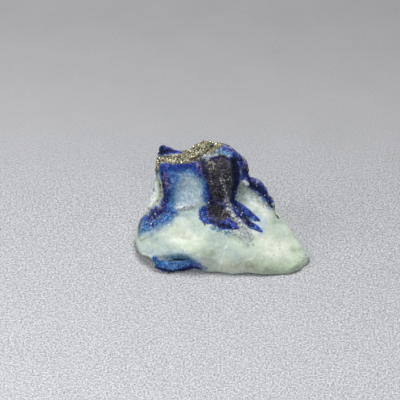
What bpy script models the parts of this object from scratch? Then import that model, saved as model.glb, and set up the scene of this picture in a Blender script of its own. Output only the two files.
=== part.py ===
"""Afghanite specimen: one piece of rough mineral, about 22 mm long, lying on a small flat spot.

Real size, metres, +Z up. The origin is the middle of the box's underside, on the surface
the stone lies on. +X runs along the long side, and +Y goes away from the viewer.

The stone is a hewn form: a few bodies of rock, each bounded by the broken faces that a
hammer leaves, grown together with soft joins and carved by hollows. Every broken face is
given by a point on it, its aspect (the compass side it looks to: 0 is the front, 90 the
right, 180 the back, -90 the left) and its lean (0 is upright, 90 looks straight up, -90
straight down). Points and radii of the form are in millimetres.
"""

import bpy
import numpy as np

# Driving dimensions, in metres
LENGTH = 0.0220
DEPTH = 0.0150
HEIGHT = 0.0123

MM = 0.001
HEART = np.array([-1.5, 2.0, 3.5])  # inside the stone, where every ray to its skin starts
REACH = np.array([11.0, 7.5, 6.2])  # half sizes that spread the rays evenly over the skin
FINEST = 6                          # subdivisions of the icosphere
KEPT_SHARE = 0.37                   # of its faces, after the flat stretches are thinned
PALE_GREEN = (0.60, 0.68, 0.55, 1.0)
ROUGHNESS = 0.45


def facing(aspect, lean):
    """Unit normal of a broken face from its aspect and its lean in degrees."""
    turn, rise = np.radians(aspect), np.radians(lean)
    return np.array([np.sin(turn) * np.cos(rise), -np.cos(turn) * np.cos(rise), np.sin(rise)])


def hewn(p, edge, faces):
    """Distance to the body inside all the faces, its edges worn round by about this much."""
    d = np.stack([(p - at) @ facing(aspect, lean) for at, aspect, lean in faces])
    top = d.max(axis=0)
    return top + edge * np.log(np.exp((d - top) / edge).sum(axis=0))


def lump(p, centre, radii, turn=0.0, lean_back=0.0):
    """Distance to an ellipsoid, turned about the vertical, its top then leaned back."""
    q = p - centre
    c, s = np.cos(np.radians(turn)), np.sin(np.radians(turn))
    x, y, z = q[:, 0] * c + q[:, 1] * s, q[:, 1] * c - q[:, 0] * s, q[:, 2]
    c, s = np.cos(np.radians(lean_back)), np.sin(np.radians(lean_back))
    y, z = y * c - z * s, y * s + z * c
    a, b, h = radii
    return (np.sqrt((x / a) ** 2 + (y / b) ** 2 + (z / h) ** 2) - 1.0) * min(radii)


def rib(p, start, end, start_radius, end_radius):
    """Distance to a tapered round bar between two points."""
    start, end = np.array(start), np.array(end)
    along = end - start
    t = np.clip((p - start) @ along / (along @ along), 0.0, 1.0)
    away = np.linalg.norm(p - start - t[:, None] * along, axis=1)
    return away - (start_radius + (end_radius - start_radius) * t)


def grown(a, b, soft):
    """Two bodies grown together, the corner between them filled by about this much."""
    share = np.clip(0.5 + 0.5 * (b - a) / soft, 0.0, 1.0)
    return b + (a - b) * share - soft * share * (1.0 - share)


def carved(a, b, soft):
    """The first body with the second cut out of it."""
    return -grown(-a, b, soft)


def ripple(p, cell, seed):
    """Smooth noise from -1 to 1: random values on a lattice, blended along each axis."""
    side = int(40.0 / cell) + 3
    values = np.random.default_rng(seed).uniform(-1.0, 1.0, (side, side, side))
    q = (p + 20.0) / cell
    low = np.clip(np.floor(q).astype(int), 0, side - 2)
    f = np.clip(q - low, 0.0, 1.0)
    f = f * f * f * (f * (6.0 * f - 15.0) + 10.0)
    total = np.zeros(len(p))
    for corner in np.ndindex(2, 2, 2):
        weight = np.prod(np.where(corner, f, 1.0 - f), axis=1)
        total += weight * values[tuple((low + corner).T)]
    return total


def foot(p):
    """The broad foot of pale matrix, from the left end to the right tip."""
    return hewn(p, 0.2, [
        ((-4.0, -7.05, 1.2), -6, 5),      # front wall, left stretch
        ((4.5, -8.0, 0.5), 6, 6),         # front wall, right stretch
        ((10.0, -6.95, 0.8), 50, 12),     # right front corner
        ((11.0, -4.6, 1.0), 116, 29),     # right side
        ((-3.0, -6.9, 2.9), -14, 63),     # upper face, left
        ((4.0, -4.6, 3.2), 37.5, 59.4),   # upper face, right
        ((0.0, -7.0, 2.5), 0, 32),        # worn front edge
        ((-9.7, -2.6, 3.2), -52, 44),     # left flank
        ((-10.85, -4.2, 2.2), -84, 14),   # left end
        ((-10.5, -5.6, 1.6), -40, 6),     # left front corner
        ((-10.2, -5.7, 1.1), -62, -46),   # overhang above the blue lip
        ((2.9, 2.4, 6.2), 146, 34),       # back right, upper
        ((2.5, 6.4, 1.8), 158, 10),       # back right, lower
        ((-3.0, 5.9, 4.2), 186, 26),      # back
        ((-3.5, 7.1, 1.5), 194, 4),       # back foot
        ((-8.2, 3.6, 3.0), -122, 18),     # back left
        ((0.0, 0.0, -0.5), 0, -90),       # underside
        ((0.0, -5.2, -0.3), 0, -82),      # underside, rising to the front
        ((8.0, -3.5, -0.55), 84, -81),    # and to the right tip
        ((-5.6, -3.0, -0.3), -90, -81),   # and to the left end
        ((0.0, 2.6, -0.3), 180, -80),     # and to the back
    ])


def knob(p):
    """The upright block that carries the pyrite band, with its wall above the foot."""
    return hewn(p, 0.2, [
        ((-3.0, 0.1, 8.0), -6, 32),       # front wall
        ((-7.75, 1.2, 8.3), -60, 12),     # left front
        ((-8.8, 2.5, 5.6), -96, 8),       # left wall
        ((-5.0, 2.2, 10.55), -20, 76),    # top
        ((2.6, 3.0, 8.6), 80, 14),        # right wall
        ((1.8, 1.2, 9.0), 40, 14),        # right front
        ((1.9, 4.1, 8.6), 138, 20),       # back right
        ((-2.0, 5.0, 9.0), 184, 20),      # back
        ((-7.6, 4.3, 9.0), -142, 14),     # back left
        ((0.0, 0.0, 2.5), 0, -90),
    ])


def crown(p):
    """The rounded summit over the right half of the knob."""
    return hewn(p, 0.25, [
        ((-3.3, 4.3, 11.85), -144, 44),   # shoulder to the left, back
        ((-1.5, 4.4, 12.6), 180, 50),     # summit, back
        ((0.5, 4.2, 12.0), 152, 46),      # summit, right
        ((1.95, 3.6, 11.2), 124, 34),
        ((3.1, 3.1, 10.2), 112, 24),
        ((3.5, 3.0, 8.6), 90, 2),         # right wall
        ((-1.3, 3.2, 12.5), 0, 66),       # summit, front
        ((-1.2, 2.0, 11.2), -12, 40),     # brow
        ((0.9, 2.7, 11.3), 42, 42),       # brow, right
        ((2.3, 1.9, 9.4), 48, 12),        # right cheek
        ((-1.0, 1.5, 9.2), 0, 16),        # front
        ((-3.7, 3.2, 11.1), -70, 40),     # left shoulder
        ((-4.4, 3.2, 9.5), -92, 4),       # left, inside the knob
        ((2.3, 4.5, 9.0), 140, 16),       # back right
        ((-1.0, 5.2, 9.5), 178, 14),      # back
        ((0.0, 0.0, 5.5), 0, -90),
    ])


def wing(p):
    """The ridge that runs down to the right, with a broken step at its end."""
    return hewn(p, 0.2, [
        ((5.0, 1.5, 6.6), 21, 52),        # inner face
        ((4.45, 2.3, 7.55), 131, 38),     # outer face, upper
        ((5.85, 1.0, 6.2), 110, 22),      # outer face, lower
        ((6.7, 0.0, 3.9), 84, 2),         # broken end
        ((3.4, 2.8, 8.0), 0, 86),         # top
        ((4.0, -2.4, 4.2), 12, 20),       # its foot, inside the matrix
        ((1.8, 2.5, 6.0), -92, 10),
        ((4.0, 3.0, 6.0), 170, 14),
        ((0.0, 0.0, 2.5), 0, -90),
    ])


def horn(p):
    """The small pointed corner at the top left."""
    return hewn(p, 0.22, [
        ((-8.55, 4.2, 10.0), -92, 5),     # outer face
        ((-8.0, 4.9, 11.4), 168, 5),      # back
        ((-8.4, 5.0, 10.0), -142, 8),     # back corner
        ((-7.6, 4.3, 11.75), 56, 62),     # upper edge, falling to the right
        ((-7.7, 3.6, 10.6), 0, 42),       # front, upper
        ((-7.7, 2.9, 9.6), 0, 4),         # front, inside the knob
        ((-5.2, 4.4, 10.6), 90, 34),
        ((0.0, 0.0, 5.0), 0, -90),
    ])


def dark_rib(p):
    """The granular dark rib on the knob's front, undercut at its foot."""
    return hewn(p, 0.28, [
        ((-0.7, -0.7, 8.0), -4, 16),      # front
        ((-2.3, 0.1, 8.0), -58, 10),      # left side
        ((1.05, 0.2, 8.0), 72, 4),        # right side
        ((-0.7, -0.4, 5.9), 0, -38),      # undercut
        ((-0.7, 0.6, 10.5), 0, 58),       # top
        ((0.0, 3.0, 6.0), 180, 0),
    ])


def stone(p):
    """Distance to the whole stone in millimetres: below zero inside it."""
    d = grown(foot(p), knob(p), 0.7)
    undercut = lump(p, (-10.3, -6.6, 0.2), (1.9, 1.9, 1.35), turn=-30)
    d = carved(d, undercut, 0.25)
    d = grown(d, wing(p), 0.5)
    d = grown(d, crown(p), 0.4)
    d = grown(d, horn(p), 0.3)
    d = grown(d, dark_rib(p), 0.45)
    blue_lip = lump(p, (-6.4, -6.0, 0.5), (2.4, 1.3, 1.3), turn=4)
    d = grown(d, blue_lip, 0.2)
    scoop = lump(p, (-4.9, -1.9, 8.0), (2.7, 2.3, 3.2), lean_back=30)
    d = carved(d, scoop, 0.6)
    ledge = lump(p, (-4.5, -1.4, 6.2), (2.4, 0.7, 0.95))
    d = carved(d, ledge, 0.15)
    cleft = rib(p, (1.6, 1.0, 9.9), (1.95, -0.5, 6.3), 0.45, 0.75)
    d = carved(d, cleft, 0.5)
    hollow = lump(p, (3.1, -0.3, 7.5), (2.0, 1.8, 2.0), turn=20)
    d = carved(d, hollow, 0.7)
    pit = lump(p, (-0.6, -2.5, 6.2), (2.3, 1.5, 1.2))
    d = carved(d, pit, 0.6)
    channel = rib(p, (1.8, -4.0, 7.2), (-0.2, -8.2, 4.9), 2.7, 2.7)
    d = carved(d, channel, 1.3)
    back_flakes = (
        ((-4.4, 13.6, 8.6), 8.2),
        ((3.4, 13.3, 5.6), 8.0),
        ((12.2, 5.0, 7.2), 7.2),
        ((-15.3, 7.2, 7.4), 7.6),
    )
    for centre, radius in back_flakes:
        d = carved(d, lump(p, centre, (radius, radius, radius)), 0.5)
    return d + 0.14 * ripple(p, 2.6, seed=3) + 0.09 * ripple(p, 1.3, seed=4)


def skin_points(directions):
    """Where the ray along each direction, coming in from outside, meets the stone."""
    rays = directions * REACH
    rays /= np.linalg.norm(rays, axis=1)[:, None]
    away = np.full(len(rays), 17.0)
    for _ in range(60):
        away -= 0.6 * stone(HEART + rays * away[:, None])
    return HEART + rays * away[:, None]


def boxed(points):
    """The points moved and stretched a little, so that their box is the driving one."""
    low, high = points.min(axis=0), points.max(axis=0)
    low[2] = 0.0  # the resting surface
    size = np.array([LENGTH, DEPTH, HEIGHT])
    middle = np.array([(low[0] + high[0]) / 2, (low[1] + high[1]) / 2, 0.0])
    return (points - middle) * size / (high - low)


def stone_material():
    """Pale green matrix, slightly waxy."""
    material = bpy.data.materials.new("pale_matrix")
    material.use_nodes = True
    shader = material.node_tree.nodes["Principled BSDF"]
    shader.inputs["Base Color"].default_value = PALE_GREEN
    shader.inputs["Roughness"].default_value = ROUGHNESS
    shader.inputs["Metallic"].default_value = 0.0
    material.diffuse_color = PALE_GREEN
    return material


def put(obj, collection):
    """Moves a new object into one collection only."""
    for other in obj.users_collection:
        other.objects.unlink(obj)
    collection.objects.link(obj)


def resting_cutter(collection):
    """A slab under the resting surface, which cuts the stone's flat spot."""
    thick = 4.0 * MM
    bpy.ops.mesh.primitive_cube_add(size=1.0, location=(0.0, 0.0, -thick / 2))
    slab = bpy.context.object
    slab.name = "resting_surface"
    slab.scale = (3.0 * LENGTH, 3.0 * DEPTH, thick)
    slab.hide_render = True
    slab.display_type = "WIRE"
    put(slab, collection)
    return slab


def specimen(collection, slab):
    """The whole stone: an icosphere whose points lie on the formula's skin."""
    bpy.ops.mesh.primitive_ico_sphere_add(subdivisions=FINEST, radius=1.0)
    obj = bpy.context.object
    obj.name = "specimen"
    mesh = obj.data
    directions = np.empty(len(mesh.vertices) * 3, np.float32)
    mesh.vertices.foreach_get("co", directions)
    points = boxed(skin_points(directions.reshape(-1, 3).astype(float)))
    mesh.vertices.foreach_set("co", points.astype(np.float32).ravel())
    mesh.update()
    mesh.shade_smooth()
    mesh.set_sharp_from_angle(angle=np.radians(50.0))
    mesh.materials.append(stone_material())
    thinned = obj.modifiers.new("thinned", "DECIMATE")
    thinned.ratio = KEPT_SHARE
    rest = obj.modifiers.new("flat_spot", "BOOLEAN")
    rest.operation = "DIFFERENCE"
    rest.object = slab
    put(obj, collection)
    return obj


def build():
    for obj in list(bpy.data.objects):
        bpy.data.objects.remove(obj)
    parts = bpy.data.collections.new("afghanite specimen")
    helpers = bpy.data.collections.new("helpers")
    bpy.context.scene.collection.children.link(parts)
    bpy.context.scene.collection.children.link(helpers)
    specimen(parts, resting_cutter(helpers))


build()
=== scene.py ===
"""Afghanite specimen: the looks of one rough piece of blue and pale green mineral, about 22 mm long."""

import bpy
import numpy as np
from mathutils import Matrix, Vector


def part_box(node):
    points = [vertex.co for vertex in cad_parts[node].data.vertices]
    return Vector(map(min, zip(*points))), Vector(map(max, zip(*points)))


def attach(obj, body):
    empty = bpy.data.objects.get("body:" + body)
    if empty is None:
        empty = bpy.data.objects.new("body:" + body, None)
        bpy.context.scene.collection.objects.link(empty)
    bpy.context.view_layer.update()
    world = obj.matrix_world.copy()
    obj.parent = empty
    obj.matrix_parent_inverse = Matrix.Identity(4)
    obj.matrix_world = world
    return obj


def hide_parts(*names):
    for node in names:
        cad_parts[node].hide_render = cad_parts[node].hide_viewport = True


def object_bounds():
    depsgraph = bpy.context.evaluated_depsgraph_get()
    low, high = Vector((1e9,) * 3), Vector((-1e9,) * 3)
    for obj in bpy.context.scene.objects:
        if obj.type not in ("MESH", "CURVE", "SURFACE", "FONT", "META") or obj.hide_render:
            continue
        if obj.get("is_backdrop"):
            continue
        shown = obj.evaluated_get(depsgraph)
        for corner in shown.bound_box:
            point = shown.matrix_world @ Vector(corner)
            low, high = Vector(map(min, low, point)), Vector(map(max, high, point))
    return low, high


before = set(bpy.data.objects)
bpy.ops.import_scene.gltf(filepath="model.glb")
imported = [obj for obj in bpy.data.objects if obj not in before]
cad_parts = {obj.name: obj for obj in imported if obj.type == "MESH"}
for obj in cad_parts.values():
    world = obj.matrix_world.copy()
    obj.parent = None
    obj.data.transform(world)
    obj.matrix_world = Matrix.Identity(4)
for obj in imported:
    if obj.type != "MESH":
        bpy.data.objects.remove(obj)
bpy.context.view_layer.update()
MM = 0.001

# Camera, a long lens from 40 degrees above
# It looks down at the stone's front, with the floor behind it filling the picture.
CAMERA_AIM = Vector((-2.77, 2.95, 3.48)) * MM
CAMERA_STEP = Vector((0.0, -223.4, 190.6)) * MM
CAMERA_LENS = 208.6

camera = bpy.data.objects.new("camera", bpy.data.cameras.new("camera"))
bpy.context.scene.collection.objects.link(camera)
camera.location = CAMERA_AIM + CAMERA_STEP
camera.rotation_euler = (-CAMERA_STEP).to_track_quat("-Z", "Y").to_euler()
camera.data.lens = CAMERA_LENS
camera.data.sensor_width = 36.0
camera.data.clip_start = 10.0 * MM
camera.data.clip_end = 10.0
bpy.context.scene.camera = camera

# Light: four soft lamps and a pale even room
# The main lamp hangs overhead, a little behind the stone. The window stands at its left and a weak fill
# in front, and a small lamp makes the glints.
LAMP_AIM = Vector((0.0, 0.0, 4.0)) * MM
ROOM_TINT, ROOM_STRENGTH = (0.93, 0.95, 1.0, 1.0), 0.19
bpy.context.scene.view_settings.view_transform = "Standard"


def soft_lamp(name, place, size, power):
    """A square area lamp at this place and of this size, in millimetres, turned to the lamps' aim."""
    lamp = bpy.data.objects.new(name, bpy.data.lights.new(name, "AREA"))
    bpy.context.scene.collection.objects.link(lamp)
    lamp.location = Vector(place) * MM
    lamp.rotation_euler = (LAMP_AIM - lamp.location).to_track_quat("-Z", "Y").to_euler()
    lamp.data.size = size * MM
    lamp.data.energy = power


soft_lamp("overhead", (30, 75, 250), 105, 0.50)
soft_lamp("window", (-190, -20, 150), 120, 0.19)
soft_lamp("fill", (30, -230, 170), 170, 0.14)
soft_lamp("spark", (-60, 80, 260), 30, 0.05)
room = bpy.data.worlds.new("room")
bpy.context.scene.world = room
room.use_nodes = True
room.node_tree.nodes["Background"].inputs["Color"].default_value = ROOM_TINT
room.node_tree.nodes["Background"].inputs["Strength"].default_value = ROOM_STRENGTH

# Floor: a sheet of matt pale grey paper
# Its short fibres show as a fine even grain, and painted light falloff makes it a little darker away from the
# viewer.
FLOOR_NEAR = (0.545, 0.552, 0.574, 1.0)
FLOOR_FAR = (0.310, 0.306, 0.314, 1.0)
PAPER_GRAIN = 0.115  # mm
GRAIN_CONTRAST = 2.5
LEFT_PAINTED_LIGHT, RIGHT_PAINTED_LIGHT = 1.06, 0.95


def node(tree, kind, ins=(), **settings):
    """A shader node, its settings, and its inputs: each a value or another node's output."""
    made = tree.nodes.new("ShaderNode" + kind)
    for name, value in settings.items():
        setattr(made, name, value)
    for socket, value in dict(ins).items():
        if isinstance(value, bpy.types.NodeSocket):
            tree.links.new(value, made.inputs[socket])
        else:
            made.inputs[socket].default_value = value
    return made


def calc(tree, operation, a, b):
    """One arithmetic step on two values."""
    return node(tree, "Math", {0: a, 1: b}, operation=operation).outputs[0]


def mixed(tree, share, a, b):
    """Colour a with colour b laid over it by this share."""
    return node(tree, "Mix", {0: share, 6: a, 7: b}, data_type="RGBA").outputs[2]


def scaled(tree, vector, factor):
    """A colour or a place times one value."""
    return node(tree, "VectorMath", {0: vector, "Scale": factor}, operation="SCALE").outputs[0]


def split(tree, colour):
    """The three channels of a colour."""
    return node(tree, "SeparateColor", {0: colour}).outputs


def ranged(tree, value, low, high, start=0.0, end=1.0, smooth=False):
    """The value brought from low..high to start..end, and held there."""
    ins = {0: value, 1: low, 2: high, 3: start, 4: end}
    return node(tree, "MapRange", ins, interpolation_type="SMOOTHSTEP" if smooth else "LINEAR").outputs[0]


def noise(tree, place, size, detail=3.0, rough=0.55):
    """Soft noise whose blotches are about this many millimetres across."""
    ins = {"Vector": place, "Scale": 0.5 / (size * MM), "Detail": detail, "Roughness": rough}
    return node(tree, "TexNoise", ins)


def new_material(name):
    """An empty material: its tree, its principled shader, and the object's own coordinates."""
    made = bpy.data.materials.new(name)
    made.use_nodes = True
    tree = made.node_tree
    place = node(tree, "TexCoord").outputs["Object"]
    return made, tree, tree.nodes["Principled BSDF"], place


def new_piece(name, points, faces):
    """A mesh piece from an array of points and a list of faces."""
    mesh = bpy.data.meshes.new(name)
    mesh.from_pydata(points.tolist(), [], faces)
    piece = bpy.data.objects.new(name, mesh)
    bpy.context.scene.collection.objects.link(piece)
    return piece


def wide_sheet(name, half, below):
    """A flat square sheet, this far below the resting surface."""
    x, y = np.meshgrid([-half, half], [-half, half])
    points = np.stack([x.ravel(), y.ravel(), np.full(4, -below)], axis=1)
    return new_piece(name, points, [(0, 1, 3, 2)])


paper, tree, shader, place = new_material("pale_paper")
across = node(tree, "SeparateXYZ", {0: place})
depth = across.outputs["Y"]
sharp = ranged(tree, depth, 4.0 * MM, 26.0 * MM, 1.0, 0.12, smooth=True)
grain = noise(tree, place, PAPER_GRAIN, detail=2.0, rough=0.7).outputs["Fac"]
mottle = noise(tree, place, 3.0, detail=3.0).outputs["Fac"]
grain = calc(tree, "MULTIPLY", calc(tree, "SUBTRACT", grain, 0.5), sharp)
mottle = calc(tree, "MULTIPLY", calc(tree, "SUBTRACT", mottle, 0.5), 0.10)
# painted light falloff: the floor's colour lighter at the left and darker at the right
side = ranged(tree, across.outputs["X"], -28.0 * MM, 28.0 * MM, LEFT_PAINTED_LIGHT, RIGHT_PAINTED_LIGHT)
tone = calc(tree, "ADD", calc(tree, "MULTIPLY", grain, GRAIN_CONTRAST), side)
tone = calc(tree, "ADD", tone, mottle)
# painted light falloff: the floor's colour darker away from the viewer
base = mixed(tree, ranged(tree, depth, -28.0 * MM, 48.0 * MM), FLOOR_NEAR, FLOOR_FAR)
tree.links.new(scaled(tree, base, tone), shader.inputs["Base Color"])
bump = node(tree, "Bump", {"Height": grain, "Distance": 0.05 * MM, "Strength": 0.5})
tree.links.new(bump.outputs[0], shader.inputs["Normal"])
shader.inputs["Roughness"].default_value = 0.9
shader.inputs["Specular IOR Level"].default_value = 0.2
floor = wide_sheet("floor", 1.5, 0.02 * MM)
floor.data.materials.append(paper)
floor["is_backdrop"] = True

# The stone: one broken piece of rough mineral
# Pale green matrix, waxy and half clear, holds granular blue and violet mineral, a dark rib and a band
# of pyrite. Hammered faces, hollows and a chipped ledge give it its form; it lies as it was broken.
HEART = np.array([-1.5, 2.0, 3.5])  # inside the stone, where every ray to its skin starts
REACH = np.array([11.0, 7.5, 6.2])


def facing(aspect, lean):
    """Unit normal of a broken face from its aspect and its lean in degrees."""
    turn, rise = np.radians(aspect), np.radians(lean)
    return np.array([np.sin(turn) * np.cos(rise), -np.cos(turn) * np.cos(rise), np.sin(rise)])


def hewn(p, edge, faces):
    """Distance to the body inside all the faces, its edges worn round by about this much."""
    normals = np.array([facing(aspect, lean) for _, aspect, lean in faces])
    reach = (np.array([at for at, _, _ in faces]) * normals).sum(axis=1)
    d = p @ normals.T - reach
    top = d.max(axis=1)
    return top + edge * np.log(np.exp((d - top[:, None]) / edge).sum(axis=1))


def lump(p, centre, radii, turn=0.0, lean_back=0.0):
    """Distance to an ellipsoid, turned about the vertical, its top then leaned back."""
    q = p - centre
    c, s = np.cos(np.radians(turn)), np.sin(np.radians(turn))
    x, y, z = q[:, 0] * c + q[:, 1] * s, q[:, 1] * c - q[:, 0] * s, q[:, 2]
    c, s = np.cos(np.radians(lean_back)), np.sin(np.radians(lean_back))
    y, z = y * c - z * s, y * s + z * c
    a, b, h = radii
    return (np.sqrt((x / a) ** 2 + (y / b) ** 2 + (z / h) ** 2) - 1.0) * min(radii)


def rib(p, start, end, start_radius, end_radius):
    """Distance to a tapered round bar between two points."""
    start, end = np.array(start), np.array(end)
    along = end - start
    t = np.clip((p - start) @ along / (along @ along + 1e-9), 0.0, 1.0)
    away = np.linalg.norm(p - start - t[:, None] * along, axis=1)
    return away - (start_radius + (end_radius - start_radius) * t)


def grown(a, b, soft):
    """Two bodies grown together, the corner between them filled by about this much."""
    share = np.clip(0.5 + 0.5 * (b - a) / soft, 0.0, 1.0)
    return b + (a - b) * share - soft * share * (1.0 - share)


def carved(a, b, soft):
    """The first body with the second cut out of it."""
    return -grown(-a, b, soft)


def ripple(p, cell, seed):
    """Smooth noise from -1 to 1: random values on a lattice, blended along each axis."""
    side = int(40.0 / cell) + 3
    values = np.random.default_rng(seed).uniform(-1.0, 1.0, (side, side, side))
    q = (p + 20.0) / cell
    low = np.clip(np.floor(q).astype(int), 0, side - 2)
    f = np.clip(q - low, 0.0, 1.0)
    f = f * f * f * (f * (6.0 * f - 15.0) + 10.0)
    total = np.zeros(len(p))
    for corner in np.ndindex(2, 2, 2):
        weight = np.prod(np.where(corner, f, 1.0 - f), axis=1)
        total += weight * values[tuple((low + corner).T)]
    return total


def chips(p, cell, seed, keen=9.0):
    """Small broken facets: each grain of a jittered lattice has its own slope, nearer grains weigh more."""
    side = int(40.0 / cell) + 4
    draws = np.random.default_rng(seed).uniform(-1.0, 1.0, (side, side, side, 6)).astype(np.float32)
    q = ((p + 20.0) / cell).astype(np.float32)
    home = np.floor(q).astype(int)
    total, weights = np.zeros(len(p), np.float32), np.full(len(p), 1e-6, np.float32)
    for step in np.ndindex(3, 3, 3):
        at = home + step - 1
        own = draws[tuple(np.clip(at, 0, side - 1).T)]
        gap = q - at - 0.5 - 0.4 * own[:, :3]
        weight = np.exp(-keen * (gap * gap).sum(axis=1))
        total += weight * (gap * own[:, 3:]).sum(axis=1)
        weights += weight
    return total / weights


def foot(p):
    """The broad foot of pale matrix, from the left end to the right tip."""
    return hewn(p, 0.2, [
        ((-4.0, -7.05, 1.2), -6, 5), ((4.5, -8.0, 0.5), 6, 6), ((10.0, -6.95, 0.8), 50, 12),
        ((11.0, -4.6, 1.0), 116, 29), ((-3.0, -6.9, 2.9), -14, 63), ((4.0, -4.6, 3.2), 37.5, 59.4),
        ((0.0, -7.0, 2.5), 0, 32), ((-9.7, -2.6, 3.2), -52, 44), ((-10.85, -4.2, 2.2), -84, 14),
        ((-10.5, -5.6, 1.6), -40, 6), ((-10.2, -5.7, 1.1), -62, -46), ((2.9, 2.4, 6.2), 146, 34),
        ((2.5, 6.4, 1.8), 158, 10), ((-3.0, 5.9, 4.2), 186, 26), ((-3.5, 7.1, 1.5), 194, 4),
        ((-8.2, 3.6, 3.0), -122, 18), ((0.0, 0.0, -0.5), 0, -90), ((0.0, -5.2, -0.3), 0, -82),
        ((8.0, -3.5, -0.55), 84, -81), ((-5.6, -3.0, -0.3), -90, -81), ((0.0, 2.6, -0.3), 180, -80),
    ])


def knob(p):
    """The upright block that carries the pyrite band, with its wall above the foot."""
    return hewn(p, 0.2, [
        ((-3.0, 0.1, 8.0), -6, 32), ((-7.75, 1.2, 8.3), -60, 12), ((-8.8, 2.5, 5.6), -96, 8),
        ((-5.0, 2.2, 10.55), -20, 76), ((2.6, 3.0, 8.6), 80, 14), ((1.8, 1.2, 9.0), 40, 14),
        ((1.9, 4.1, 8.6), 138, 20), ((-2.0, 5.0, 9.0), 184, 20), ((-7.6, 4.3, 9.0), -142, 14),
        ((0.0, 0.0, 2.5), 0, -90),
    ])


def crown(p):
    """The rounded summit over the right half of the knob."""
    return hewn(p, 0.25, [
        ((-3.3, 4.3, 11.85), -144, 44), ((-1.5, 4.4, 12.6), 180, 50), ((0.5, 4.2, 12.0), 152, 46),
        ((1.95, 3.6, 11.2), 124, 34), ((3.1, 3.1, 10.2), 112, 24), ((3.5, 3.0, 8.6), 90, 2),
        ((-1.3, 3.2, 12.5), 0, 66), ((-1.2, 2.0, 11.2), -12, 40), ((0.9, 2.7, 11.3), 42, 42),
        ((2.3, 1.9, 9.4), 48, 12), ((-1.0, 1.5, 9.2), 0, 16), ((-3.7, 3.2, 11.1), -70, 40),
        ((-4.4, 3.2, 9.5), -92, 4), ((2.3, 4.5, 9.0), 140, 16), ((-1.0, 5.2, 9.5), 178, 14),
        ((0.0, 0.0, 5.5), 0, -90),
    ])


def wing(p):
    """The ridge that runs down to the right, with a broken step at its end."""
    return hewn(p, 0.2, [
        ((5.0, 1.5, 6.6), 21, 52), ((4.45, 2.3, 7.55), 131, 38), ((5.85, 1.0, 6.2), 110, 22),
        ((6.7, 0.0, 3.9), 84, 2), ((3.4, 2.8, 8.0), 0, 86), ((4.0, -2.4, 4.2), 12, 20),
        ((1.8, 2.5, 6.0), -92, 10), ((4.0, 3.0, 6.0), 170, 14), ((0.0, 0.0, 2.5), 0, -90),
    ])


def horn(p):
    """The small pointed corner at the top left."""
    return hewn(p, 0.22, [
        ((-8.55, 4.2, 10.0), -92, 5), ((-8.0, 4.9, 11.4), 168, 5), ((-8.4, 5.0, 10.0), -142, 8),
        ((-7.6, 4.3, 11.75), 56, 62), ((-7.7, 3.6, 10.6), 0, 42), ((-7.7, 2.9, 9.6), 0, 4),
        ((-5.2, 4.4, 10.6), 90, 34), ((0.0, 0.0, 5.0), 0, -90),
    ])


def dark_rib(p):
    """The granular dark rib on the knob's front, undercut at its foot."""
    return hewn(p, 0.28, [
        ((-0.7, -0.7, 8.0), -4, 16), ((-2.3, 0.1, 8.0), -58, 10), ((1.05, 0.2, 8.0), 72, 4),
        ((-0.7, -0.4, 5.9), 0, -38), ((-0.7, 0.6, 10.5), 0, 58), ((0.0, 3.0, 6.0), 180, 0),
    ])


def stone(p):
    """Distance to the whole stone in millimetres: below zero inside it."""
    d = grown(foot(p), knob(p), 0.7)
    d = carved(d, lump(p, (-10.3, -6.6, 0.2), (1.9, 1.9, 1.35), turn=-30), 0.25)
    for body, soft in ((wing, 0.5), (crown, 0.4), (horn, 0.3), (dark_rib, 0.45)):
        d = grown(d, body(p), soft)
    d = grown(d, lump(p, (-6.4, -6.0, 0.5), (2.4, 1.3, 1.3), turn=4), 0.2)
    d = carved(d, lump(p, (-4.9, -1.9, 8.0), (2.7, 2.3, 3.2), lean_back=30), 0.6)
    d = carved(d, lump(p, (-4.5, -1.4, 6.2), (2.4, 0.7, 0.95)), 0.15)
    d = carved(d, rib(p, (1.6, 1.0, 9.9), (1.95, -0.5, 6.3), 0.45, 0.75), 0.5)
    d = carved(d, lump(p, (3.1, -0.3, 7.5), (2.0, 1.8, 2.0), turn=20), 0.7)
    d = carved(d, lump(p, (-0.6, -2.5, 6.2), (2.3, 1.5, 1.2)), 0.6)
    d = carved(d, rib(p, (1.8, -4.0, 7.2), (-0.2, -8.2, 4.9), 2.7, 2.7), 1.3)
    for centre, radius in (((-4.4, 13.6, 8.6), 8.2), ((3.4, 13.3, 5.6), 8.0), ((12.2, 5.0, 7.2), 7.2),
                           ((-15.3, 7.2, 7.4), 7.6)):
        d = carved(d, lump(p, centre, (radius, radius, radius)), 0.5)
    return d


def cube_grid(n):
    """A cube's faces in n by n squares: its knots as whole numbers, each once, where each stands in the
    six faces and the other way about, and its squares, facing out."""
    u, v = np.meshgrid(np.arange(n + 1), np.arange(n + 1), indexing="ij")
    corner = (np.arange(n)[:, None] * (n + 1) + np.arange(n)).ravel()
    square = np.stack([corner, corner + n + 1, corner + n + 2, corner + 1], axis=1)
    knots, squares = [], []
    for axis in range(3):
        for side in (0, n):
            face = np.empty((u.size, 3), int)
            face[:, axis], face[:, (axis + 1) % 3], face[:, (axis + 2) % 3] = side, u.ravel(), v.ravel()
            squares.append((square if side else square[:, ::-1]) + len(knots) * u.size)
            knots.append(face)
    knots = np.concatenate(knots)
    key = knots @ np.array([(n + 1) ** 2, n + 1, 1])
    _, first, where = np.unique(key, return_index=True, return_inverse=True)
    return knots[first], first, where, where[np.concatenate(squares)]


def met(points, steps):
    """The points drawn along their rays from the heart until they lie on the stone."""
    rays = points - HEART
    away = np.linalg.norm(rays, axis=1)
    rays = rays / away[:, None]
    for _ in range(steps):
        away = away - 0.6 * stone(HEART + rays * away[:, None])
    return HEART + rays * away[:, None]


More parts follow.
